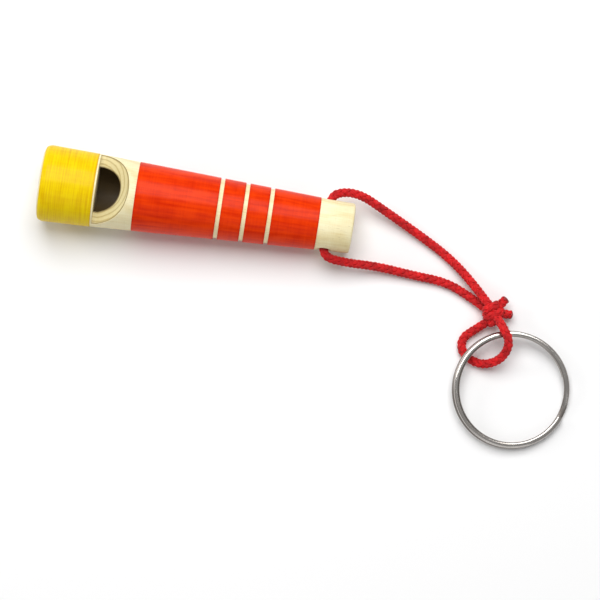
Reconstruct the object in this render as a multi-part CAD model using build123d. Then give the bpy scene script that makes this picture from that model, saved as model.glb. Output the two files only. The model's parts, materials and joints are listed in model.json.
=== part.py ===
from build123d import *
import math
import os

# Turned wooden whistle on a cord with a split key ring.
# Millimetres. The whistle lies on a table along +X: mouth end at -X, tail at +X, sound window up.
# The origin is on the table, under the middle of the whistle.

# Wooden body, measured along its own axis from the mouth end
whistle_length = 66.6
head_length = 11.6          # mouth end, coated yellow
collar_length = 8.7         # bare wood that holds the sound window
tail_length = 7.4           # bare wood that holds the cross hole

mouth_radius = 8.1          # outside of the yellow lac at the mouth end
head_back_radius = 7.8      # outside of the yellow lac beside the collar
collar_front_radius = 7.72
collar_back_radius = 7.34
body_front_radius = 7.36    # outside of the red lac beside the collar
body_back_radius = 5.58     # outside of the red lac beside the tail
tail_front_radius = 5.48
tail_back_radius = 5.34
rim_round = 1.6             # rounded edge of the mouth end
tail_ease = 0.5             # eased edge of the tail

# Lac coats
lac_thickness = 0.15
lac_mouth_gap = 0.25        # bare wood at the very edge of the mouth
groove_places = (38.1, 43.5, 48.8)
groove_width = 0.85
groove_depth = 0.3          # below the outside of the lac

# Bore, sound window and windway
bore_radius = 5.1
bore_depth = 40.0
drill_point = 2.0
window_strip = 0.35         # bare wood between the yellow lac and the saw cut
window_floor = 1.9          # height of the saw cut's floor above the axis
window_flat = 0.9           # width of the saw cut
window_ramp = 6.0           # length of the sloping cut
window_hollow = 0.45        # how far the sloping cut dips below a straight line
windway_height = 1.35
plug_clearance = 0.03

# Cord and its hole
cord_diameter = 2.1
cross_hole_radius = 1.5
cross_hole_ease = 0.3
cross_hole_from_tail = 5.3
knot_radius = 2.7
knot_clearance = 0.3        # between the knot and the bight that turns in it
knot_along = 37.4           # from the cross hole to the middle of the knot, along X
knot_across = -13.2
cord_end_reach = 4.1        # from the middle of the knot to a cut end
bend_share = 0.45           # share of a run that the bend at its end may use

# Split ring: flattened wire, two turns and a jog
ring_outer_radius = 12.5
wire_width = 1.2
wire_height = 0.9
wire_round = 0.25
turn_gap = 0.06
jog_angle = 44.0
jog_steps = 8
ring_lift_clearance = 0.55  # between the cord under the ring and the middle of its lifted side
ring_lift_angle = 140.0     # direction of the lifted side, seen from above
bight_angle = 125.0         # direction from the ring's centre to the bight round its wire
wire_in_bight_along = 36.4  # from the cross hole to the wire inside the bight, along X
wire_in_bight_across = -19.05

cut_margin = 1.0            # how far a cutting shape stands clear of the wood

cord_radius = cord_diameter / 2
collar_end = head_length + collar_length
body_end = whistle_length - tail_length
saw_cut = head_length + window_strip
cross_hole_place = whistle_length - cross_hole_from_tail


def turned(profile):
    """Revolve an outline of (along the axis, radius) points about the whistle's axis."""
    return revolve(make_face(profile), Axis.X)


def body_radius(place):
    """Outside radius of the red lac at a place along the axis."""
    share = (place - collar_end) / (body_end - collar_end)
    return body_front_radius + share * (body_back_radius - body_front_radius)


# ---- Wooden body, in its own frame: axis along X, mouth end at X = 0 ----

def rounded_rim(round_radius):
    """Quarter round from the end face to the side of the mouth end."""
    middle = Vector(rim_round, mouth_radius - lac_thickness - rim_round)
    side = middle + Vector(0, round_radius)
    slant = middle + Vector(-round_radius, round_radius) / math.sqrt(2)
    face = middle + Vector(-round_radius, 0)
    return ThreePointArc(face, slant, side)


def make_wood_body():
    """Turned wood, then bored, sawn for the window, grooved and drilled across the tail."""
    rim = rounded_rim(rim_round)
    outline = rim + Polyline(
        rim @ 1,
        (head_length, head_back_radius - lac_thickness),
        (head_length, collar_front_radius),
        (collar_end, collar_back_radius),
        (collar_end, body_front_radius - lac_thickness),
        (body_end, body_back_radius - lac_thickness),
        (body_end, tail_front_radius),
        (whistle_length - tail_ease, tail_back_radius),
        (whistle_length, tail_back_radius - tail_ease),
        (whistle_length, 0),
        (0, 0),
        rim @ 0,
    )
    wood = turned(outline)
    bore = turned(Polyline((0, 0), (0, bore_radius), (bore_depth, bore_radius),
                           (bore_depth + drill_point, 0), close=True))
    wood -= bore
    wood -= window_cut()
    for place in groove_places:
        outside = body_radius(place)
        floor = outside - groove_depth
        wood -= turned(Polyline((place - groove_width / 2, floor), (place + groove_width / 2, floor),
                                (place + groove_width / 2, outside), (place - groove_width / 2, outside),
                                close=True))
    return wood - cross_hole()


def window_cut():
    """Upright saw cut behind the head, and a slightly hollow slope up to the collar's back."""
    above = mouth_radius + cut_margin
    floor_end = saw_cut + window_flat
    ramp_end = floor_end + window_ramp
    ramp_top = collar_back_radius
    run = Vector(ramp_end - floor_end, ramp_top - window_floor)
    inward = Vector(run.Y, -run.X).normalized()
    dip = Vector(floor_end, window_floor) + run / 2 + inward * window_hollow
    slope = ThreePointArc((floor_end, window_floor), dip, (ramp_end, ramp_top))
    sides = Polyline((ramp_end, ramp_top), (ramp_end + (above - ramp_top), above), (saw_cut, above),
                     (saw_cut, window_floor), (floor_end, window_floor))
    outline = Plane.XZ * make_face(slope + sides)
    return extrude(outline, mouth_radius + cut_margin, both=True)


def cross_hole():
    """Hole for the cord, across the tail, with both mouths eased."""
    across = Plane(origin=(cross_hole_place, 0, 0), x_dir=(1, 0, 0), z_dir=(0, 1, 0))
    reach = tail_front_radius + cut_margin
    hole = across * Cylinder(cross_hole_radius, 2 * reach)
    for side in (1, -1):
        mouth = Cone(cross_hole_radius, cross_hole_radius + 2 * cross_hole_ease, 2 * cross_hole_ease)
        if side < 0:
            mouth = Rot(180, 0, 0) * mouth
        hole += across * Pos(0, 0, side * tail_front_radius) * mouth
    return hole


def make_fipple_plug():
    """Dowel in the mouth end of the bore, planed flat on top for the windway."""
    radius = bore_radius - plug_clearance
    dowel = turned(Polyline((0, 0), (0, radius), (saw_cut, radius), (saw_cut, 0), close=True))
    windway_floor = bore_radius - windway_height
    windway = Box(saw_cut + 2 * cut_margin, 2 * bore_radius, 2 * bore_radius)
    return dowel - Pos(saw_cut / 2, 0, windway_floor + bore_radius) * windway


# ---- Lac coats, each lying on the turned wood ----

def make_head_lacquer():
    """Yellow coat over the mouth end and round its rim."""
    outer = rounded_rim(rim_round + lac_thickness)
    inner = rounded_rim(rim_round)
    outline = outer + Polyline(
        outer @ 1,
        (head_length, head_back_radius),
        (head_length, head_back_radius - lac_thickness),
        inner @ 1,
    ) + inner + Line(inner @ 0, outer @ 0)
    bare_edge = Cylinder(mouth_radius + cut_margin, lac_mouth_gap + cut_margin)
    return turned(outline) - Rot(0, 90, 0) * Pos(0, 0, (lac_mouth_gap - cut_margin) / 2) * bare_edge


def make_red_lacquer(start, end):
    """One red band of the tapering coat."""
    return turned(Polyline(
        (start, body_radius(start) - lac_thickness),
        (start, body_radius(start)),
        (end, body_radius(end)),
        (end, body_radius(end) - lac_thickness),
        close=True,
    ))


def red_bands():
    """Where each red band starts and ends, parted by the grooves."""
    starts = [collar_end] + [place + groove_width / 2 for place in groove_places]
    ends = [place - groove_width / 2 for place in groove_places] + [body_end]
    return zip(starts, ends)


whistle = {
    "wood_body": make_wood_body(),
    "fipple_plug": make_fipple_plug(),
    "head_lacquer": make_head_lacquer(),
}
for number, (start, end) in enumerate(red_bands(), 1):
    whistle[f"red_lacquer_{number}"] = make_red_lacquer(start, end)

# The whistle leans a little, lying on the back edge of its head and on its tail.
lean = math.degrees(math.atan2(head_back_radius - tail_back_radius,
                               whistle_length - tail_ease - head_length))
leaning = Compound([Rot(0, lean, 0) * piece for piece in whistle.values()]).bounding_box()
whistle_place = Pos(-leaning.center().X, 0, -leaning.min.Z) * Rot(0, lean, 0)
nodes = {name: whistle_place * piece for name, piece in whistle.items()}

hole = (whistle_place * Pos(cross_hole_place, 0, 0)).position
print(f"lean {lean:.3f} degrees, cross hole at {hole.X:.3f}, {hole.Y:.3f}, {hole.Z:.3f}")
tail = (whistle_place * Pos(whistle_length, 0, 0)).position
print(f"tail end at {tail.X:.4f}, {tail.Z:.4f}")
print(f"mouth end at {whistle_place.position.X:.3f}, {whistle_place.position.Z:.3f}")

# ---- Cord. Each route lists points from the cross hole: along X, across Y, and height above the table ----

knot_centre = Vector(hole.X + knot_along, knot_across, knot_radius)

leg_a_route = [
    (0.0, 0.0, hole.Z),
    (0.12, 3.0, hole.Z),
    (0.0, 6.9, hole.Z - 0.1),
    (5.4, 8.0, 4.7),
    (12.2, 4.9, 2.6),
    (19.6, 1.3, 1.3),
    (26.6, -2.6, 1.1),
    (32.2, -7.4, 2.3),
    (36.9, -12.5, 3.7),
]
leg_b_route = [
    (0.0, 0.0, hole.Z),
    (-0.12, -3.0, hole.Z),
    (0.0, -6.9, hole.Z - 0.2),
    (5.2, -7.2, 3.8),
    (12.0, -6.8, 2.0),
    (19.6, -7.5, 1.12),
    (26.6, -7.9, 1.06),
    (32.1, -10.3, 1.06),
    (36.5, -12.8, 1.75),
]
bight_route = [
    (37.5, -13.3, 2.8),
    (39.2, -15.6, 6.1),
    (41.8, -19.4, 6.0),
    (40.4, -23.0, 3.3),
    (36.4, -24.6, 1.2),
    (32.1, -22.7, 1.06),
    (31.5, -19.4, 1.06),
    (34.1, -17.1, 1.35),
    (37.0, -14.8, 2.6),
]


def cord_tube(name, route):
    """Plain tube of the cord: straight runs joined by arcs as large as their runs allow."""
    points = [Vector(hole.X + along, across, height) for along, across, height in route]
    radii = []
    for before, corner, after in zip(points, points[1:], points[2:]):
        half_turn = math.radians((corner - before).get_angle(after - corner)) / 2
        shorter = min((corner - before).length, (after - corner).length)
        radii.append(bend_share * shorter / math.tan(half_turn))
    path = FilletPolyline(*points, radius=radii)
    section = Plane(origin=path @ 0, z_dir=path % 0) * Circle(cord_radius)
    tube = sweep(section, path)
    expected = math.pi * cord_radius**2 * path.length
    print(f"{name}: length {path.length:.2f}, volume {tube.volume / expected:.4f} of section x length, radii",
          " ".join(f"{radius:.1f}" for radius in radii))
    return tube


knot = Pos(*knot_centre) * Sphere(knot_radius)
knot_room = Pos(*knot_centre) * Sphere(knot_radius + knot_clearance)
nodes["cord_leg_a"] = cord_tube("cord_leg_a", leg_a_route) - knot
nodes["cord_leg_b"] = cord_tube("cord_leg_b", leg_b_route) - knot
nodes["cord_knot"] = knot
nodes["cord_bight"] = cord_tube("cord_bight", bight_route) - knot_room

end_directions = {"cord_end_a": (0.55, 0.80, 0.20), "cord_end_b": (0.98, 0.05, -0.15)}
for name, direction in end_directions.items():
    stub_plane = Plane(origin=knot_centre, z_dir=direction)
    stub = extrude(stub_plane * Circle(cord_radius), cord_end_reach)
    nodes[name] = stub - knot

# ---- Split ring ----

wire_in_bight = Vector(hole.X + wire_in_bight_along, wire_in_bight_across, 0)
wire_middle_radius = ring_outer_radius - wire_width / 2
ring_centre = wire_in_bight - Vector(wire_middle_radius, 0, 0).rotate(Axis.Z, bight_angle)
ring_tilt = math.degrees(math.asin((cord_diameter + ring_lift_clearance) / (2 * wire_middle_radius)))
turn_rise = wire_height + turn_gap


def wire_section(angle, height):
    """Flattened wire cut across at an angle round the ring; height is that of the wire's middle."""
    turned_plane = Plane.XZ.rotated((0, 0, angle))
    turned_plane.origin = Vector(0, 0, 0)
    outline = RectangleRounded(wire_width, wire_height, wire_round)
    return turned_plane * Pos(wire_middle_radius, height) * outline


def make_split_ring():
    """Two turns of wire, one on the other, joined by a jog beside their cut ends."""
    low = wire_height / 2
    turn_arc = 360 - jog_angle
    lower = revolve(wire_section(jog_angle / 2, low), Axis.Z, turn_arc)
    upper = revolve(wire_section(jog_angle / 2, low + turn_rise), Axis.Z, turn_arc)
    sections = []
    for step in range(jog_steps + 1):
        share = step / jog_steps
        rise = turn_rise * (1 - math.cos(math.pi * share)) / 2
        sections.append(wire_section(-jog_angle / 2 + jog_angle * share, low + rise))
    return lower + loft(sections) + upper


lift = Vector(math.cos(math.radians(ring_lift_angle)), math.sin(math.radians(ring_lift_angle)), 0)
tilt_axis = lift.cross(Vector(0, 0, 1))
ring = make_split_ring().rotate(Axis((0, 0, 0), tilt_axis), ring_tilt)
ring_rise = -ring.bounding_box().min.Z
nodes["split_ring"] = Pos(ring_centre.X, ring_centre.Y, ring_rise) * ring
ring_normal = Vector(0, 0, 1).rotate(Axis((0, 0, 0), tilt_axis), ring_tilt)
print(f"knot centre {knot_centre}, ring centre {ring_centre.X:.3f}, {ring_centre.Y:.3f}, {ring_rise:.3f},"
      f" ring normal {ring_normal}")

os.makedirs("parts", exist_ok=True)
for name, solid in nodes.items():
    export_step(solid, f"parts/{name}.step")
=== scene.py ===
import json
import math

import bmesh
import bpy
from mathutils import Matrix, Vector, noise


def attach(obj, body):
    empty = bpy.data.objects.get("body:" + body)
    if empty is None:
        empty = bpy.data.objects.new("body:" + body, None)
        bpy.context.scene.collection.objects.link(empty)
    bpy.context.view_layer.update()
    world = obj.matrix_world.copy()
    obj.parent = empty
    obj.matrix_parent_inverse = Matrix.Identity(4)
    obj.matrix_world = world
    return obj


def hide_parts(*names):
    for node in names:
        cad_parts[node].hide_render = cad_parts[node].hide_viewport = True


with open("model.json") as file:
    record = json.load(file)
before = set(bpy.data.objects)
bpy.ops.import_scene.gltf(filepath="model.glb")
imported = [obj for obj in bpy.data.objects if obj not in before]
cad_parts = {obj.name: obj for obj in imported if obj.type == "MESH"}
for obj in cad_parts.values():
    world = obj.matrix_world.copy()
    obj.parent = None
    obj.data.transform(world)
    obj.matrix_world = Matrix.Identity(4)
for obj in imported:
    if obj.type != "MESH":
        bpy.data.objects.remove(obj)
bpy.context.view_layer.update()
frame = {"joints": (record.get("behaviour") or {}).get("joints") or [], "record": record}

# ---------------------------------------------------------------------------
# Studio: a plain white table top under a broad, soft overhead light. The camera
# looks almost straight down, turned a little so that the whistle slopes.
# ---------------------------------------------------------------------------

camera_turn = math.radians(8.2)
camera_rise = math.radians(83)
camera_distance = 0.62
view_width = 0.127
view_centre = Vector((0.0245, -0.0165, 0.004))
sensor_width = 36.0

camera_data = bpy.data.cameras.new("studio_camera")
camera_data.sensor_width = sensor_width
camera_data.lens = sensor_width * camera_distance / view_width
camera_data.clip_start = 0.01
camera = bpy.data.objects.new("studio_camera", camera_data)
bpy.context.scene.collection.objects.link(camera)
level = math.cos(camera_rise) * camera_distance
camera.location = view_centre + Vector((
    math.sin(camera_turn) * level,
    -math.cos(camera_turn) * level,
    math.sin(camera_rise) * camera_distance,
))
camera.rotation_euler = (math.pi / 2 - camera_rise, 0, camera_turn)
bpy.context.scene.camera = camera


def soft_light(name, place, size, watts):
    """A square softbox turned towards the whistle."""
    data = bpy.data.lights.new(name, "AREA")
    data.size = size
    data.energy = watts
    lamp = bpy.data.objects.new(name, data)
    bpy.context.scene.collection.objects.link(lamp)
    lamp.location = place
    lamp.rotation_euler = (view_centre - Vector(place)).to_track_quat("-Z", "Y").to_euler()


soft_light("overhead_softbox", place=(-0.02, 0.26, 0.60), size=0.55, watts=4.5)
soft_light("left_softbox", place=(-0.50, 0.10, 0.30), size=0.20, watts=0.5)
soft_light("front_fill", place=(0.15, -0.50, 0.45), size=0.5, watts=0.45)

# The plain display transform shows a saturated lac as saturated as it is.
bpy.context.scene.view_settings.view_transform = "Standard"

world = bpy.data.worlds.new("studio_air")
world.use_nodes = True
air = world.node_tree.nodes["Background"]
air.inputs["Color"].default_value = (1.0, 1.0, 1.0, 1.0)
air.inputs["Strength"].default_value = 0.26
bpy.context.scene.world = world


class Field:
    """A socket in a material's tree. Sums written on it add Math nodes."""

    def __init__(self, tree, socket=None):
        self.tree = tree
        self.socket = socket

    def node(self, kind, settings, inputs, output=0):
        """Any other node: its settings first, then the values or links of its sockets."""
        made = self.tree.nodes.new("ShaderNode" + kind)
        for name, value in settings.items():
            if name == "stops":
                ramp = made.color_ramp
                while len(ramp.elements) < len(value):
                    ramp.elements.new(0.5)
                for element, (position, color) in zip(ramp.elements, value):
                    element.position = position
                    element.color = (*color, 1)
            else:
                setattr(made, name, value)
        for name, value in inputs.items():
            if isinstance(value, Field):
                self.tree.links.new(value.socket, made.inputs[name])
            else:
                made.inputs[name].default_value = value
        return Field(self.tree, made.outputs[output])

    def math(self, operation, *values, clamp=False):
        settings = {"operation": operation, "use_clamp": clamp}
        return self.node("Math", settings, dict(enumerate(values)))

    def __add__(self, other):
        return self.math("ADD", self, other)

    def __sub__(self, other):
        return self.math("SUBTRACT", self, other)

    def __rsub__(self, other):
        return self.math("SUBTRACT", other, self)

    def __mul__(self, other):
        return self.math("MULTIPLY", self, other)

    def __pow__(self, other):
        return self.math("POWER", self, other)

    __radd__ = __add__
    __rmul__ = __mul__

    def clamped(self):
        return self.math("ADD", self, 0.0, clamp=True)

    def mixed(self, colour_a, colour_b):
        """Colour a where this is 0, colour b where it is 1."""
        settings = {"data_type": "RGBA"}
        inputs = {0: self, 6: colour_a, 7: colour_b}
        return self.node("Mix", settings, inputs, output=2)

    def fade(self, start, end):
        """0 up to the start, 1 past the end, and a soft change between them."""
        settings = {"interpolation_type": "SMOOTHSTEP"}
        return self.node("MapRange", settings, {"Value": self, "From Min": start, "From Max": end})

    def cloud(self, scale, detail):
        """Noise over a place."""
        return self.node("TexNoise", {}, {"Vector": self, "Scale": scale, "Detail": detail})

    def scaled(self, factors):
        """A place stretched or squeezed along each of its axes."""
        return self.node("VectorMath", {"operation": "MULTIPLY"}, {0: self, 1: factors})

    def length(self):
        """Distance of a place from its origin."""
        return self.node("VectorMath", {"operation": "LENGTH"}, {0: self}, output="Value")


def new_finish(name, slots):
    """A material's tree with a Principled shader, whose steady values are set here."""
    material = bpy.data.materials.new(name)
    material.use_nodes = True
    shader = material.node_tree.nodes["Principled BSDF"]
    for socket, value in slots.items():
        shader.inputs[socket].default_value = value
    return material, shader, Field(material.node_tree)


def feed(shader, socket, field):
    """Link what varies over the surface to one of the shader's sockets."""
    field.tree.links.new(field.socket, shader.inputs[socket])


def rgb(red, green, blue):
    """A colour as a screen shows it, turned by the sRGB curve into the light values a shader takes."""
    return tuple(((c + 0.055) / 1.055) ** 2.4 if c > 0.04 else c / 12.92 for c in (red, green, blue)) + (1,)


def object_place(field):
    """Place on a piece in the frame that the whole object shares."""
    return field.node("TexCoord", {}, {}, output="Object")


table_reach = 1.5

floor_mesh = bmesh.new()
bmesh.ops.create_grid(floor_mesh, x_segments=1, y_segments=1, size=table_reach)
floor_data = bpy.data.meshes.new("table_top")
floor_mesh.to_mesh(floor_data)
floor = bpy.data.objects.new("table_top", floor_data)
bpy.context.scene.collection.objects.link(floor)
floor_finish, floor_shader, floor_field = new_finish("white_table_top", {"Roughness": 0.6})
floor_cloud = object_place(floor_field).cloud(4.0, 2.0)
feed(floor_shader, "Base Color", floor_cloud.mixed(rgb(0.955, 0.955, 0.955), rgb(0.965, 0.965, 0.965)))
floor_data.materials.append(floor_finish)

# ---------------------------------------------------------------------------
# Wooden body: one piece of pale, close-grained wood, turned to its outline and
# bored from the mouth. The window is sawn and pared, and the tail is drilled across.
# ---------------------------------------------------------------------------

whistle_length = 0.0666
head_length = 0.0116
collar_length = 0.0087
tail_length = 0.0074
mouth_radius = 0.0081
head_back_radius = 0.0078
collar_front_radius = 0.00772
collar_back_radius = 0.00734
body_front_radius = 0.00736
body_back_radius = 0.00558
tail_front_radius = 0.00548
tail_back_radius = 0.00534
rim_round = 0.0016
tail_ease = 0.0005
tail_ease_middle = 0.3          # share of the ease that its middle point keeps to either side
lac_thickness = 0.00015
groove_places = (0.0381, 0.0435, 0.0488)
groove_width = 0.00085
groove_depth = 0.0003
bore_radius = 0.0051
bore_depth = 0.040
drill_point = 0.002
edge_ease = 0.00007
sharp_corner = math.radians(28)
crease_angle = math.radians(38)
sliver_width = 0.000016
merge_order = Vector((1.0, 0.7071, 0.5773))     # slanting, so that no two corners tie
weld_distance = 1e-7
turning_steps = 160

collar_end = head_length + collar_length
body_end = whistle_length - tail_length

tail_face = {mount["name"]: mount for mount in frame["record"]["mounts"]}["tail_face"]
along = Vector(tail_face["axis"])
mouth_end = Vector(tail_face["pos_m"]) - along * whistle_length
lean = math.atan2(-along.z, along.x)
whistle_place = Matrix.Translation(mouth_end) @ Matrix.Rotation(lean, 4, "Y")


def body_radius(place):
    """Outside radius of the red coat at a place along the axis."""
    share = (place - collar_end) / (body_end - collar_end)
    return body_front_radius + share * (body_back_radius - body_front_radius)


def turned(outline, closed=False):
    """A line of (along the axis, radius) points spun about the whistle's axis."""
    shape = bmesh.new()
    corners = [shape.verts.new((place, 0, radius)) for place, radius in outline]
    runs = list(zip(corners, corners[1:]))
    if closed:
        runs.append((corners[-1], corners[0]))
    edges = [shape.edges.new(run) for run in runs]
    bmesh.ops.spin(shape, geom=corners + edges, cent=(0, 0, 0), axis=(1, 0, 0), angle=2 * math.pi,
                   steps=turning_steps, use_merge=True)
    bmesh.ops.remove_doubles(shape, verts=shape.verts, dist=weld_distance)
    bmesh.ops.recalc_face_normals(shape, faces=shape.faces)
    return shape


def ease_edges(shape, width):
    """Round every sharp edge of a shape a little."""
    sharp = [edge for edge in shape.edges if edge.is_manifold and edge.calc_face_angle() > sharp_corner]
    bmesh.ops.bevel(shape, geom=sharp, offset=width, offset_type="OFFSET", segments=2, profile=0.5,
                    affect="EDGES", material=-1, clamp_overlap=True)


def merge_slivers(shape):
    """Take out the hair-thin faces that a cut leaves where it passes close to a corner."""
    shape.verts.sort(key=lambda vert: vert.co.dot(merge_order))
    bmesh.ops.remove_doubles(shape, verts=shape.verts, dist=sliver_width)
    bmesh.ops.dissolve_degenerate(shape, edges=shape.edges, dist=sliver_width)


def make_piece(name, shape, finish):
    """A smooth object from a shape made in the whistle's own frame, laid where the whistle lies."""
    shape.transform(whistle_place)
    mesh = bpy.data.meshes.new(name)
    shape.to_mesh(mesh)
    shape.free()
    mesh.shade_smooth()
    mesh.set_sharp_from_angle(angle=crease_angle)
    mesh.materials.append(finish)
    piece = bpy.data.objects.new(name, mesh)
    bpy.context.scene.collection.objects.link(piece)
    return piece


def rim_arc(round_radius, steps):
    """Quarter round from the end face to the side of the mouth end."""
    middle = (rim_round, mouth_radius - lac_thickness - rim_round)
    angles = [math.pi / 2 * step / steps for step in range(steps + 1)]
    return [(middle[0] - round_radius * math.cos(a), middle[1] + round_radius * math.sin(a)) for a in angles]


def groove_corners(place):
    """The four corners of a shallow groove turned through the red coat into the wood."""
    top = body_radius(place) - lac_thickness
    bottom = body_radius(place) - groove_depth
    front = place - groove_width / 2
    back = place + groove_width / 2
    return [(front, top), (front, bottom), (back, bottom), (back, top)]


wood_outline = [
    (bore_depth + drill_point, 0),
    (bore_depth, bore_radius),
    (0, bore_radius),
    *rim_arc(rim_round, 8),
    (head_length, head_back_radius - lac_thickness),
    (head_length, collar_front_radius),
    (collar_end, collar_back_radius),
    (collar_end, body_front_radius - lac_thickness),
]
for place in groove_places:
    wood_outline += groove_corners(place)
wood_outline += [
    (body_end, body_back_radius - lac_thickness),
    (body_end, tail_front_radius),
    (whistle_length - tail_ease, tail_back_radius),
    (whistle_length - tail_ease * tail_ease_middle, tail_back_radius - tail_ease * tail_ease_middle),
    (whistle_length, tail_back_radius - tail_ease),
    (whistle_length, 0),
]
wood_shape = turned(wood_outline)
ease_edges(wood_shape, edge_ease)

# Window: a saw cut stands upright behind the head, and a knife pares the slope
# down to it, which leaves the sharp lip that splits the air.

window_strip = 0.00035
window_floor = 0.0019
window_flat = 0.0009
window_ramp = 0.0060
window_hollow = 0.00045
knife_marks = 7
knife_mark_depth = 0.000008
knife_mark_drift = 1.2          # over 1, the marks draw together towards the top of the slope
slope_steps = 48
cutter_margin = 0.001

saw_cut = head_length + window_strip
slope_start = Vector((saw_cut + window_flat, 0, window_floor))
slope_end = Vector((saw_cut + window_flat + window_ramp, 0, collar_back_radius))
slope_run = slope_end - slope_start
slope_inward = Vector((slope_run.z, 0, -slope_run.x)).normalized()
window_reach = mouth_radius + cutter_margin

window_outline = [Vector((saw_cut, 0, window_floor))]
for step in range(slope_steps + 1):
    share = step / slope_steps
    dip = window_hollow * 4 * share * (1 - share)
    dip += knife_mark_depth * math.cos(2 * math.pi * knife_marks * share**knife_mark_drift)
    window_outline.append(slope_start + slope_run * share + slope_inward * dip)
window_outline.append(slope_end + Vector((2 * cutter_margin, 0, 2 * cutter_margin)))
window_outline.append(Vector((saw_cut, 0, window_reach + cutter_margin)))

window_shape = bmesh.new()
side = [window_shape.verts.new(point - Vector((0, window_reach, 0))) for point in window_outline]
far_side = bmesh.ops.extrude_face_region(window_shape, geom=[window_shape.faces.new(side)])["geom"]
bmesh.ops.translate(window_shape, verts=[part for part in far_side if isinstance(part, bmesh.types.BMVert)],
                    vec=(0, 2 * window_reach, 0))
bmesh.ops.recalc_face_normals(window_shape, faces=window_shape.faces)

# Cross hole: drilled through the tail, with both of its mouths eased so that the
# cord doesn't chafe. One turned cutter makes the hole and both mouths.

cross_hole_radius = 0.0015
cross_hole_ease = 0.0003
cross_hole_place = whistle_length - 0.0053

hole_mouth = cross_hole_radius + 2 * cross_hole_ease
hole_outline = [
    (-tail_front_radius - cutter_margin, 0),
    (-tail_front_radius - cutter_margin, hole_mouth),
    (-tail_front_radius - cross_hole_ease, hole_mouth),
    (-tail_front_radius + cross_hole_ease, cross_hole_radius),
]
hole_outline += [(-place, radius) for place, radius in reversed(hole_outline)]
hole_shape = turned(hole_outline)
hole_shape.transform(Matrix.Translation((cross_hole_place, 0, 0)) @ Matrix.Rotation(math.pi / 2, 4, "Z"))


growth_ring_width = 0.00088
growth_ring_wander = 0.0011
grain_stretch = 0.045
pore_stretch = 0.11
finish_relief = 0.00003


def whistle_axes(field):
    """Place on a piece measured from the middle of the mouth end, with x along the whistle."""
    return field.node("Mapping", {"vector_type": "TEXTURE"}, {
        "Vector": object_place(field), "Location": tuple(mouth_end), "Rotation": (0, lean, 0)})


def wood_finish(name, pale, warm, pith, window_cut):
    """Close-grained wood: rings round the pith, streaks and pores along the grain, turning marks."""
    finish, shader, field = new_finish(name, {"Specular IOR Level": 0.4})
    place = whistle_axes(field)
    along_axis = field.node("SeparateXYZ", {}, {"Vector": place}, output="X")
    across = place.scaled((0, 1, 1))
    radius = across.length()

    wander = place.cloud(130.0, 2.0)
    ring_radius = field.node("VectorMath", {"operation": "SUBTRACT"}, {0: across, 1: pith}).length()
    ring_turns = (ring_radius + wander * growth_ring_wander) * (2 * math.pi / growth_ring_width)
    late_wood = (field.math("SINE", ring_turns) * 0.5 + 0.5) ** 4

    streak = place.scaled((grain_stretch, 1, 1)).cloud(2400.0, 3.0)
    pore_noise = place.scaled((pore_stretch, 1, 1)).cloud(7000.0, 1.0)
    pores = field.node("MapRange", {}, {"Value": pore_noise, "From Min": 0.64, "From Max": 0.74})
    turning = field.node("TexNoise", {"noise_dimensions": "1D"}, {
        "W": along_axis, "Scale": 5200.0, "Detail": 3.0})
    cloud = place.cloud(210.0, 3.0)

    tone = late_wood * 0.34 + (streak - 0.5) * 0.8 + (turning - 0.5) * 0.35 + (cloud - 0.5) * 0.7 + 0.22
    colour = tone.clamped().mixed(pale, warm)
    colour = (pores * 0.32).mixed(colour, rgb(0.60, 0.49, 0.30))

    if window_cut:
        # The pared slope is browner than the turned skin, and along its two edges it is painted darker still
        # as painted shade.
        collar_slope = (collar_front_radius - collar_back_radius) / collar_length
        below_skin = collar_front_radius - (along_axis - head_length) * collar_slope - radius
        before_body = field.math("LESS_THAN", along_axis, collar_end - 0.0001)
        behind_cut = field.math("GREATER_THAN", along_axis, saw_cut - 0.00001)
        window = before_body * behind_cut * below_skin.fade(0.00003, 0.00008)
        skin_edge_shade = below_skin.fade(0.00040, 0.00016)
        bore_edge_shade = radius.fade(bore_radius + 0.00034, bore_radius + 0.00006)
        colour = (window * 0.45).mixed(colour, rgb(0.86, 0.79, 0.52))
        colour = (window * late_wood * 0.45).mixed(colour, rgb(0.66, 0.57, 0.32))
        colour = (window * skin_edge_shade * 0.75).mixed(colour, rgb(0.52, 0.42, 0.20))
        colour = (window * bore_edge_shade * 0.80).mixed(colour, rgb(0.36, 0.27, 0.13))

        # The bore is painted a dark brown inside, as painted shade in the hollow.
        inside = radius.fade(bore_radius + 0.00007, bore_radius - 0.00002)
        before_tip = field.math("LESS_THAN", along_axis, bore_depth + drill_point + 0.0005)
        behind_face = field.math("GREATER_THAN", along_axis, 0.00003)
        bore_shade_colour = (cloud * 1.6 - 0.3).clamped().mixed(rgb(0.24, 0.18, 0.09), rgb(0.36, 0.28, 0.15))
        colour = (inside * before_tip * behind_face).mixed(colour, bore_shade_colour)
    feed(shader, "Base Color", colour)
    feed(shader, "Roughness", 0.50 + (streak - 0.5) * 0.25 + pores * 0.2)

    relief = late_wood * 0.25 + streak * 0.35 + turning * 0.6 - pores * 0.7
    feed(shader, "Normal", field.node("Bump", {}, {
        "Height": relief, "Strength": 0.35, "Distance": finish_relief}))
    return finish


body_wood = wood_finish("turned_pale_wood", pale=rgb(0.975, 0.94, 0.78), warm=rgb(0.89, 0.80, 0.54),
                        pith=(0, 0.0011, -0.0006), window_cut=True)

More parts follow.
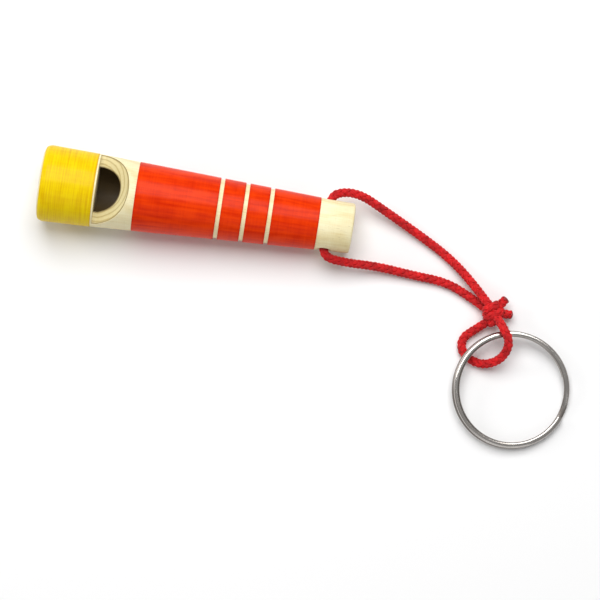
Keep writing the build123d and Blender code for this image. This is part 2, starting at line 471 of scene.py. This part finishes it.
wood = make_piece("turned_wood", wood_shape, body_wood)
cutters = [
    make_piece("window_cutter", window_shape, body_wood),
    make_piece("hole_cutter", hole_shape, body_wood),
]
for cutter in cutters:
    cut = wood.modifiers.new("cut", "BOOLEAN")
    cut.object = cutter
    cut.operation = "DIFFERENCE"
    cut.solver = "EXACT"
cut_wood = bpy.data.meshes.new_from_object(wood.evaluated_get(bpy.context.evaluated_depsgraph_get()))
wood.modifiers.clear()
wood.data = cut_wood
for cutter in cutters:
    bpy.data.objects.remove(cutter)
cut_wood.name = "turned_wood"
cut_shape = bmesh.new()
cut_shape.from_mesh(cut_wood)
merge_slivers(cut_shape)
cut_shape.to_mesh(cut_wood)
cut_shape.free()
cut_wood.shade_smooth()
cut_wood.set_sharp_from_angle(angle=crease_angle)
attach(wood, "whistle")
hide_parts("wood_body")

# ---------------------------------------------------------------------------
# Plug: a short dowel of the same wood, pushed into the mouth end of the bore.
# Its top is planed flat, which leaves the windway above it.
# ---------------------------------------------------------------------------

plug_clearance = 0.00003
windway_height = 0.00135

plug_radius = bore_radius - plug_clearance
plug_shape = turned([(0, 0), (0, plug_radius), (saw_cut, plug_radius), (saw_cut, 0)])
planed = bmesh.ops.bisect_plane(
    plug_shape, geom=plug_shape.verts[:] + plug_shape.edges[:] + plug_shape.faces[:], dist=weld_distance,
    plane_co=(0, 0, bore_radius - windway_height), plane_no=(0, 0, 1), clear_outer=True)["geom_cut"]
bmesh.ops.holes_fill(plug_shape, edges=[part for part in planed if isinstance(part, bmesh.types.BMEdge)])
bmesh.ops.remove_doubles(plug_shape, verts=plug_shape.verts, dist=edge_ease)
bmesh.ops.recalc_face_normals(plug_shape, faces=plug_shape.faces)
ease_edges(plug_shape, edge_ease)
plug_wood = wood_finish("planed_plug_wood", pale=rgb(0.93, 0.86, 0.68), warm=rgb(0.80, 0.69, 0.46),
                        pith=(0, 0.0042, -0.0051), window_cut=False)
plug = make_piece("planed_plug", plug_shape, plug_wood)
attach(plug, "whistle")
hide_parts("fipple_plug")

# ---------------------------------------------------------------------------
# Yellow coat: lac melted on to the spinning wood by friction, and polished with
# a leaf. It covers the mouth end and goes round its rim.
# ---------------------------------------------------------------------------

lac_mouth_gap = 0.00025
coat_edge = 0.00006
wave_step = 0.0004
wave_height = 0.000014
wave_pitch = 900                # waves of noise to a metre
wave_fade = 6                   # a coat's waves die away over the last sixth of it
deep_end_width = 0.0007
rim_steps = 12


def wavy_coat(start, start_radius, end, end_radius):
    """Outside of a coat along the axis, with the faint ridges left by the lac stick."""
    count = max(2, round((end - start) / wave_step))
    line = []
    for step in range(count + 1):
        share = step / count
        place = start + (end - start) * share
        height = wave_height * min(1.0, wave_fade * share, wave_fade * (1 - share))
        ridge = height * noise.noise((place * wave_pitch, 3.1, 7.7))
        line.append((place, start_radius + (end_radius - start_radius) * share + ridge))
    return line


def coat_with_edges(outline, ends):
    """A thin closed coat, which keeps how near each point is to the coat's ends."""
    shape = turned(outline, closed=True)
    nearness = shape.verts.layers.float.new("end_nearness")
    for vert in shape.verts:
        gap = min(abs(vert.co.x - end) for end in ends)
        vert[nearness] = max(0.0, 1 - gap / deep_end_width)
    return shape


def lac_finish(name, deep, middle, bright, line_share, streak_share):
    """Glossy lac with turning lines round it, polishing streaks along it, and deeper colour at its ends."""
    finish, shader, field = new_finish(name, {
        "Specular IOR Level": 0.05,
        "Coat Roughness": 0.12,
        "Coat IOR": 1.4,
    })
    place = whistle_axes(field)
    lines = place.scaled((1, 0.03, 0.03)).cloud(3600.0, 3.0)
    streaks = place.scaled((0.05, 1, 1)).cloud(1500.0, 3.0)
    cloud = place.cloud(260.0, 3.0)
    speck_noise = place.cloud(5200.0, 1.0)
    speck = field.node("MapRange", {}, {"Value": speck_noise, "From Min": 0.70, "From Max": 0.78})
    ends = field.node("Attribute", {"attribute_name": "end_nearness"}, {}, output="Fac")

    tone = (lines - 0.5) * line_share + (streaks - 0.5) * streak_share + (cloud - 0.5) * 0.9
    colour = (tone + 0.5).clamped().mixed(middle, bright)
    colour = ((0.5 - tone) * 0.8 - 0.30).clamped().mixed(colour, deep)
    colour = (ends ** 3 * 0.6).mixed(colour, deep)
    colour = (speck * 0.35).mixed(colour, deep)
    feed(shader, "Base Color", colour)
    feed(shader, "Roughness", 0.34 + (lines - 0.5) * 0.22 + (cloud - 0.5) * 0.15)
    feed(shader, "Coat Weight", (0.11 - speck * 0.07 - ends * 0.04).clamped())
    relief = lines * 0.7 + streaks * 0.4 + cloud * 2.0 - speck * 0.3
    feed(shader, "Normal", field.node("Bump", {}, {
        "Height": relief, "Strength": 0.30, "Distance": finish_relief}))
    return finish


outer_arc = [point for point in rim_arc(rim_round + lac_thickness, rim_steps) if point[0] > lac_mouth_gap]
inner_arc = [point for point in rim_arc(rim_round, rim_steps) if point[0] > lac_mouth_gap]
yellow_outline = [
    *outer_arc,
    *wavy_coat(rim_round + wave_step, outer_arc[-1][1], head_length - coat_edge, head_back_radius),
    (head_length, head_back_radius - coat_edge),
    (head_length, head_back_radius - lac_thickness),
    *reversed(inner_arc),
]
yellow_lac = lac_finish("yellow_lac", deep=rgb(0.80, 0.56, 0.01), middle=rgb(0.91, 0.75, 0.01),
                        bright=rgb(0.95, 0.84, 0.05), line_share=1.4, streak_share=0.3)
yellow_coat = make_piece("yellow_coat", coat_with_edges(yellow_outline, (0.0, head_length)), yellow_lac)
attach(yellow_coat, "whistle")
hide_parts("head_lacquer")

# ---------------------------------------------------------------------------
# Red coat: lac again, on the tapering body. Three grooves are turned through it
# afterwards, down to the bare wood, which leaves four bands.
# ---------------------------------------------------------------------------

red_lac = lac_finish("red_lac", deep=rgb(0.70, 0.03, 0.0), middle=rgb(0.86, 0.165, 0.0),
                     bright=rgb(0.94, 0.26, 0.01), line_share=0.35, streak_share=1.1)
band_starts = [collar_end] + [place + groove_width / 2 for place in groove_places]
band_ends = [place - groove_width / 2 for place in groove_places] + [body_end]
for number, (start, end) in enumerate(zip(band_starts, band_ends), 1):
    red_outline = [
        (start, body_radius(start) - lac_thickness),
        (start, body_radius(start) - coat_edge),
        *wavy_coat(start + coat_edge, body_radius(start + coat_edge),
                   end - coat_edge, body_radius(end - coat_edge)),
        (end, body_radius(end) - coat_edge),
        (end, body_radius(end) - lac_thickness),
    ]
    red_band = make_piece(f"red_band_{number}", coat_with_edges(red_outline, (start, end)), red_lac)
    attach(red_band, "whistle")
    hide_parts(f"red_lacquer_{number}")

# ---------------------------------------------------------------------------
# Cord: one length of round red braid, eight carriers of three yarns each. It
# runs through the hole across the tail; its two legs meet in a knot.
# ---------------------------------------------------------------------------

joints = {joint["name"]: joint for joint in frame["joints"]}
hole_centre = Vector(joints["loop_swing"]["pos_m"])
knot_centre = Vector(joints["knot_flex"]["pos_m"])
hole_mouth_reach = 0.0055

leg_a_route = [
    (0.0, 0.0, hole_centre.z),
    (0.00012, 0.0030, hole_centre.z),
    (0.0, 0.0069, hole_centre.z - 0.0001),
    (0.0054, 0.0080, 0.0047),
    (0.0122, 0.0049, 0.0026),
    (0.0196, 0.0013, 0.0013),
    (0.0266, -0.0026, 0.0011),
    (0.0322, -0.0074, 0.0023),
    (0.0369, -0.0125, 0.0037),
]
leg_b_route = [
    (0.0, 0.0, hole_centre.z),
    (-0.00012, -0.0030, hole_centre.z),
    (0.0, -0.0069, hole_centre.z - 0.0002),
    (0.0052, -0.0072, 0.0038),
    (0.0120, -0.0068, 0.0020),
    (0.0196, -0.0075, 0.00112),
    (0.0266, -0.0079, 0.00106),
    (0.0321, -0.0103, 0.00106),
    (0.0365, -0.0128, 0.00175),
]
bight_route = [
    (0.0375, -0.0133, 0.0028),
    (0.0392, -0.0156, 0.0061),
    (0.0418, -0.0194, 0.0060),
    (0.0404, -0.0230, 0.0033),
    (0.0364, -0.0246, 0.0012),
    (0.0321, -0.0227, 0.00106),
    (0.0315, -0.0194, 0.00106),
    (0.0341, -0.0171, 0.00135),
    (0.0370, -0.0148, 0.0026),
]


def smooth_line(route):
    """Points along the one smooth curve that a route's points pull towards them."""
    curve = bpy.data.curves.new("route", "CURVE")
    curve.dimensions = "3D"
    spline = curve.splines.new("NURBS")
    spline.points.add(len(route) - 1)
    for point, place in zip(spline.points, route):
        point.co = (*place, 1)
    spline.order_u = 3
    spline.use_endpoint_u = True
    curve.resolution_u = 40
    holder = bpy.data.objects.new("route", curve)
    mesh = bpy.data.meshes.new_from_object(holder)
    line = [vertex.co.copy() for vertex in mesh.vertices]
    bpy.data.objects.remove(holder)
    return line


def even_line(line, spacing):
    """The same line with its points the same distance apart."""
    lengths = [0.0]
    for before, after in zip(line, line[1:]):
        lengths.append(lengths[-1] + (after - before).length)
    count = round(lengths[-1] / spacing)
    even = []
    index = 0
    for step in range(count + 1):
        want = lengths[-1] * step / count
        while index < len(line) - 2 and lengths[index + 1] < want:
            index += 1
        share = (want - lengths[index]) / (lengths[index + 1] - lengths[index])
        even.append(line[index].lerp(line[index + 1], min(share, 1.0)))
    return even


def carried_frames(line):
    """Two directions across the line at each point, carried along it without twist."""
    frames = []
    across = Vector((0, 0, 1))
    for index in range(len(line)):
        ahead = (line[min(index + 1, len(line) - 1)] - line[max(index - 1, 0)]).normalized()
        across = (across - ahead * across.dot(ahead)).normalized()
        frames.append((across, ahead.cross(across)))
    return frames


braid_spacing = 0.00021
lay_length = 0.0071
carriers_each_way = 4
yarns_in_carrier = 3
yarn_radius = 0.000155
yarn_step = 0.40            # radians round the cord from one yarn to the next
braid_radius = 0.00069
weave_depth = 0.00017
side_yarn_sink = 0.00005        # for each radian from the middle yarn of its carrier
core_radius = 0.00066


def braided(name, line):
    """Round braid along a line: yarns that cross over and under, on a plain core."""
    line = even_line(line, braid_spacing)
    frames = carried_frames(line)
    curve = bpy.data.curves.new(name, "CURVE")
    curve.dimensions = "3D"
    curve.bevel_depth = yarn_radius
    curve.bevel_resolution = 1
    curve.use_fill_caps = True

    def add_strand(places, thickness):
        spline = curve.splines.new("POLY")
        spline.points.add(len(places) - 1)
        for point, place in zip(spline.points, places):
            point.co = (*place, 1)
            point.radius = thickness

    turn_rate = 2 * math.pi / lay_length
    for way in (1, -1):
        for carrier in range(carriers_each_way):
            for yarn in range(yarns_in_carrier):
                offset = (yarn - (yarns_in_carrier - 1) / 2) * yarn_step
                places = []
                for index, (middle, (across, over)) in enumerate(zip(line, frames)):
                    run = index * braid_spacing
                    angle = way * turn_rate * run + 2 * math.pi * carrier / carriers_each_way + offset
                    lift = way * weave_depth * math.cos(carriers_each_way * turn_rate * run)
                    radius = braid_radius + lift - abs(offset) * side_yarn_sink
                    places.append(middle + (across * math.cos(angle) + over * math.sin(angle)) * radius)
                add_strand(places, 1.0)
    add_strand(line, core_radius / yarn_radius)
    return mesh_piece(name, curve)


def mesh_piece(name, curve):
    """A curve's finished surface as a mesh object with smooth shading."""
    holder = bpy.data.objects.new(name + "_line", curve)
    mesh = bpy.data.meshes.new_from_object(holder)
    bpy.data.objects.remove(holder)
    mesh.name = name
    mesh.shade_smooth()
    piece = bpy.data.objects.new(name, mesh)
    bpy.context.scene.collection.objects.link(piece)
    return piece


def from_hole(route):
    """A route whose points are measured along from the cross hole."""
    return [(hole_centre.x + x, y, z) for x, y, z in route]


cord_finish, cord_shader, cord_field = new_finish("crimson_braid", {
    "Roughness": 0.62,
    "Sheen Weight": 0.25,
    "Sheen Roughness": 0.4,
    "Sheen Tint": (1.0, 0.55, 0.50, 1),
    "Specular IOR Level": 0.35,
})
cord_dye = object_place(cord_field).cloud(500.0, 3.0)
cord_fibre = object_place(cord_field).cloud(7000.0, 4.0)
cord_tone = ((cord_dye - 0.5) * 1.6 + (cord_fibre - 0.5) * 1.2 + 0.5).clamped()
feed(cord_shader, "Base Color", cord_tone.mixed(rgb(0.60, 0.0, 0.03), rgb(0.95, 0.10, 0.12)))
cord_bump = cord_field.node("Bump", {}, {"Height": cord_fibre, "Strength": 0.5, "Distance": 0.00006})
feed(cord_shader, "Normal", cord_bump)

for side, route, mouth in (("a", leg_a_route, hole_mouth_reach), ("b", leg_b_route, -hole_mouth_reach)):
    line = smooth_line(from_hole(route))
    leg = braided("braided_leg_" + side, line)
    leg.data.materials.append(cord_finish)
    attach(leg, "cord_loop")
    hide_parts("cord_leg_" + side)

bight_line = smooth_line(from_hole(bight_route))
bight = braided("braided_bight", bight_line)
bight.data.materials.append(cord_finish)
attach(bight, "bight")
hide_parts("cord_bight")

# Knot: the two legs and the bight are tied together in one tight overhand knot,
# whose wraps go round both. The cut ends are melted so that they don't fray.

knot_axis = Vector((0.66, -0.75, 0)).normalized()
wrap_width = 0.00172
wrap_height = 0.00158
wrap_pitch = 0.0017
wrap_points = 7
wraps = 2
wrap_start = 0.6                # radians round the knot where its first wrap begins
wrap_wander = 0.0004
strand_tuck = 0.0006

knot_side = knot_axis.cross(Vector((0, 0, 1)))
knot_route = [knot_centre - knot_axis * strand_tuck]
for step in range(wraps * wrap_points + 1):
    turn = 2 * math.pi * step / wrap_points + wrap_start
    reach = wrap_pitch * (step / wrap_points - wraps / 2)
    knot_route.append(knot_centre + knot_axis * (reach + wrap_wander * math.sin(turn))
                      + knot_side * (wrap_width * math.cos(turn))
                      + Vector((0, 0, wrap_height * math.sin(turn))))
knot_route.append(knot_centre + knot_axis * strand_tuck)
knot = braided("tied_knot", smooth_line(knot_route))
knot.data.materials.append(cord_finish)
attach(knot, "cord_loop")
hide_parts("cord_knot")

tip_finish, tip_shader, tip_field = new_finish("melted_cord_end", {"Specular IOR Level": 0.5})
tip_flow = object_place(tip_field).cloud(2600.0, 3.0)
feed(tip_shader, "Base Color", tip_flow.mixed(rgb(0.34, 0.01, 0.02), rgb(0.72, 0.05, 0.06)))
feed(tip_shader, "Roughness", tip_flow * 0.4 + 0.12)
tip_bump = tip_field.node("Bump", {}, {"Height": tip_flow, "Strength": 0.5, "Distance": 0.00008})
feed(tip_shader, "Normal", tip_bump)

end_directions = {"a": Vector((0.55, 0.80, 0.20)), "b": Vector((0.98, 0.05, -0.15))}
end_start = 0.001
end_reach = 0.0038
tip_radius = 0.00092
tip_flatness = 0.5
tip_lumps = 0.18                # share of the bead's radius that its lumps stand out
tip_lump_pitch = 1400           # waves of noise to a metre
for side, direction in end_directions.items():
    tip = knot_centre + direction.normalized() * end_reach
    end = braided("cut_end_" + side, [knot_centre + direction.normalized() * end_start, tip])
    shape = bmesh.new()
    shape.from_mesh(end.data)
    tip_turn = direction.to_track_quat("Z", "Y").to_matrix().to_4x4()
    bead = bmesh.ops.create_uvsphere(
        shape, u_segments=28, v_segments=16, radius=tip_radius,
        matrix=Matrix.Translation(tip) @ tip_turn @ Matrix.Diagonal((1, 1, tip_flatness, 1)))
    for vert in bead["verts"]:
        vert.co += (vert.co - tip) * tip_lumps * noise.noise(vert.co * tip_lump_pitch)
        for face in vert.link_faces:
            face.material_index = 1
            face.smooth = True
    shape.to_mesh(end.data)
    shape.free()
    end.data.materials.append(cord_finish)
    end.data.materials.append(tip_finish)
    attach(end, "cord_loop")
    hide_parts("cord_end_" + side)

# ---------------------------------------------------------------------------
# Split ring: springy flattened steel wire, nickel plated, wound in two turns that
# press together. A jog between the cut ends carries the wire up to its second turn.
# ---------------------------------------------------------------------------

ring_outer_radius = 0.0125
wire_width = 0.0012
wire_height = 0.0009
wire_round = 0.00036
wire_crease_angle = math.radians(50)
turn_gap = 0.00006
jog_angle = math.radians(44)
jog_steps = 16
turn_steps = 110
second_turn_shift = 0.00016     # towards the jog, so that the turns don't hide each other

ring_centre = Vector(joints["ring_turn"]["pos_m"])
ring_normal = Vector(joints["ring_turn"]["axis"])
ring_tilt = Vector((0, 0, 1)).rotation_difference(ring_normal).to_matrix().to_4x4()
wire_middle = ring_outer_radius - wire_width / 2
turn_rise = wire_height + turn_gap

ring_shape = bmesh.new()
section = [
    ring_shape.verts.new((wire_middle + out * wire_width / 2, 0, wire_height / 2 + up * wire_height / 2))
    for out, up in ((-1, -1), (1, -1), (1, 1), (-1, 1))
]
ring_shape.faces.new(section)
bmesh.ops.bevel(ring_shape, geom=section, offset=wire_round, offset_type="OFFSET", segments=5, profile=0.5,
                affect="VERTICES", material=-1)
bmesh.ops.delete(ring_shape, geom=ring_shape.faces[:], context="FACES_ONLY")
bmesh.ops.rotate(ring_shape, verts=ring_shape.verts[:], cent=(0, 0, 0),
                 matrix=Matrix.Rotation(jog_angle / 2, 3, "Z"))


def wind(rim, angle, steps, rise, middle):
    """Carry the wire's open end round the ring's middle, and up by a rise."""
    return bmesh.ops.spin(ring_shape, geom=rim, cent=middle, axis=(0, 0, 1), dvec=(0, 0, rise / steps),
                          angle=angle, steps=steps)["geom_last"]


rim = wind(ring_shape.verts[:] + ring_shape.edges[:], 2 * math.pi - jog_angle, turn_steps, 0, (0, 0, 0))
for step in range(jog_steps):
    rise = turn_rise * (math.cos(math.pi * step / jog_steps) - math.cos(math.pi * (step + 1) / jog_steps)) / 2
    rim = wind(rim, jog_angle / jog_steps, 1, rise, (0, 0, 0))
shifted_middle = Matrix.Rotation(jog_angle / 2, 3, "Z") @ Vector((second_turn_shift, 0, 0))
wind(rim, 2 * math.pi - jog_angle, turn_steps, 0, shifted_middle)
bmesh.ops.holes_fill(ring_shape, edges=[edge for edge in ring_shape.edges if edge.is_boundary])
bmesh.ops.recalc_face_normals(ring_shape, faces=ring_shape.faces)
ring_shape.transform(Matrix.Translation(ring_centre) @ ring_tilt)

ring_data = bpy.data.meshes.new("wound_ring")
ring_shape.to_mesh(ring_data)
ring_shape.free()
ring_data.shade_smooth()
ring_data.set_sharp_from_angle(angle=wire_crease_angle)
ring = bpy.data.objects.new("wound_ring", ring_data)
bpy.context.scene.collection.objects.link(ring)

steel, steel_shader, steel_field = new_finish("nickel_plated_steel", {"Metallic": 1.0})
steel_place = steel_field.node("Mapping", {"vector_type": "TEXTURE"}, {
    "Vector": object_place(steel_field), "Location": tuple(ring_centre),
    "Rotation": tuple(ring_tilt.to_euler())})
steel_radius = steel_place.scaled((1, 1, 0)).length()
steel_height = steel_field.node("SeparateXYZ", {}, {"Vector": steel_place}, output="Z")
drawn_lines = steel_field.node("TexNoise", {"noise_dimensions": "1D"}, {
    "W": steel_radius + steel_height * 1.7, "Scale": 16000.0, "Detail": 3.0})
tarnish = steel_place.cloud(420.0, 4.0)
# Painted shade: the wire is painted darker, and made rougher, towards the seam where the two turns press
# together.
from_seam = steel_field.math("ABSOLUTE", steel_height - wire_height - turn_gap / 2)
seam_shade = from_seam.fade(0.00026, 0.00003)
dullness = ((tarnish - 0.45) * 1.6 + (drawn_lines - 0.5) * 0.6).clamped()
# Painted reflection: the wire's inner and outer sides are painted darker, standing in for dark surroundings
# reflected there.
from_middle = steel_field.math("ABSOLUTE", steel_radius - wire_middle)
painted_dark_sides = from_middle.fade(0.00036, 0.00056)
steel_colour = dullness.mixed(rgb(0.87, 0.85, 0.83), rgb(0.66, 0.63, 0.59))
steel_colour = (painted_dark_sides * 0.6).mixed(steel_colour, rgb(0.34, 0.29, 0.25))
feed(steel_shader, "Base Color", (seam_shade * 0.7).mixed(steel_colour, rgb(0.26, 0.21, 0.18)))
feed(steel_shader, "Roughness", 0.13 + dullness * 0.2 + seam_shade * 0.25)
feed(steel_shader, "Normal", steel_field.node("Bump", {}, {
    "Height": drawn_lines, "Strength": 0.25, "Distance": 0.00001}))
ring_data.materials.append(steel)
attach(ring, "ring")
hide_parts("split_ring")
